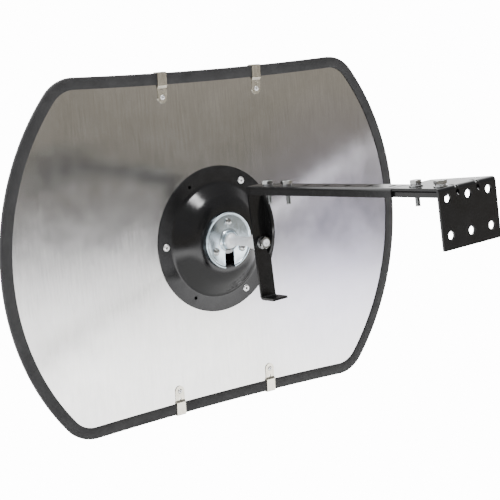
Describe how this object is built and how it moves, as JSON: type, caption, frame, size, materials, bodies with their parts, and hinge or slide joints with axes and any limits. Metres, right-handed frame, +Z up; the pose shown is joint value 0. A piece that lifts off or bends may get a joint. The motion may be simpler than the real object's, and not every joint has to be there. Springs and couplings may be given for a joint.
{
  "type": "convex security mirror",
  "caption": "Convex acrylic mirror with flat top and bottom, rubber-edged and steel-backed, on a ball joint and a cranked wall arm.",
  "frame": {"origin": "on the wall face of the wall bracket, at the middle of its six screw holes", "axes": "+Y from the wall to the mirror, +X to the right for someone at the wall who looks at the mirror's back, +Z up"},
  "size_m": [0.6496, 0.5133, 0.4746],
  "materials": {
    "mirror_face": "polished",
    "galvanised_panel": "satin",
    "gasket_rubber": "matte",
    "nickel_clip": "satin",
    "rivet_metal": "satin",
    "black_paint": "semi-gloss",
    "zinc_cap": "bright",
    "zinc_steel": "bright",
    "bright_zinc": "satin",
    "spring_steel": "satin",
    "nylon": "satin"
  },
  "bodies": {
    "bracket": {"wall_bracket": "black_paint", "wall_bracket_bolts": "zinc_steel", "wall_bracket_nuts": "zinc_steel", "wall_bracket_lock_washers": "spring_steel", "wall_bracket_flat_washers": "zinc_steel", "arm_channel": "black_paint", "drop_bar": "black_paint", "drop_bar_bolts": "zinc_steel", "drop_bar_nuts": "zinc_steel", "drop_bar_lock_washers": "spring_steel"},
    "stud": {"ball_stud": "bright_zinc", "stud_nut": "zinc_steel", "stud_lock_washer": "spring_steel", "stud_flat_washer": "zinc_steel"},
    "seat": {"ball_seat": "nylon"},
    "mirror": {"mirror_lens": "mirror_face", "back_panel": "galvanised_panel", "edge_gasket": "gasket_rubber", "edge_clip_top_left": "nickel_clip", "edge_clip_top_right": "nickel_clip", "edge_clip_bottom_left": "nickel_clip", "edge_clip_bottom_right": "nickel_clip", "clip_rivets": "rivet_metal", "mounting_dome": "black_paint", "dome_rivets": "rivet_metal", "socket_cap": "zinc_cap", "cap_screws": "zinc_steel", "cap_nuts": "zinc_steel", "socket_cup": "zinc_steel", "disc_spring": "spring_steel"}
  },
  "joints": [
    {"name": "stud_spin", "type": "hinge", "parent": "bracket", "child": "stud", "pos_m": [-0.02855, 0.415, -0.0419], "axis": [0, 1, 0], "continuous": true},
    {"name": "mirror_tilt", "type": "hinge", "parent": "stud", "child": "seat", "pos_m": [-0.02855, 0.415, -0.0419], "axis": [1, 0, 0], "range_deg": [-18, 18]},
    {"name": "mirror_pan", "type": "hinge", "parent": "seat", "child": "mirror", "pos_m": [-0.02855, 0.415, -0.0419], "axis": [0, 0, 1], "range_deg": [-18, 18]}
  ]
}
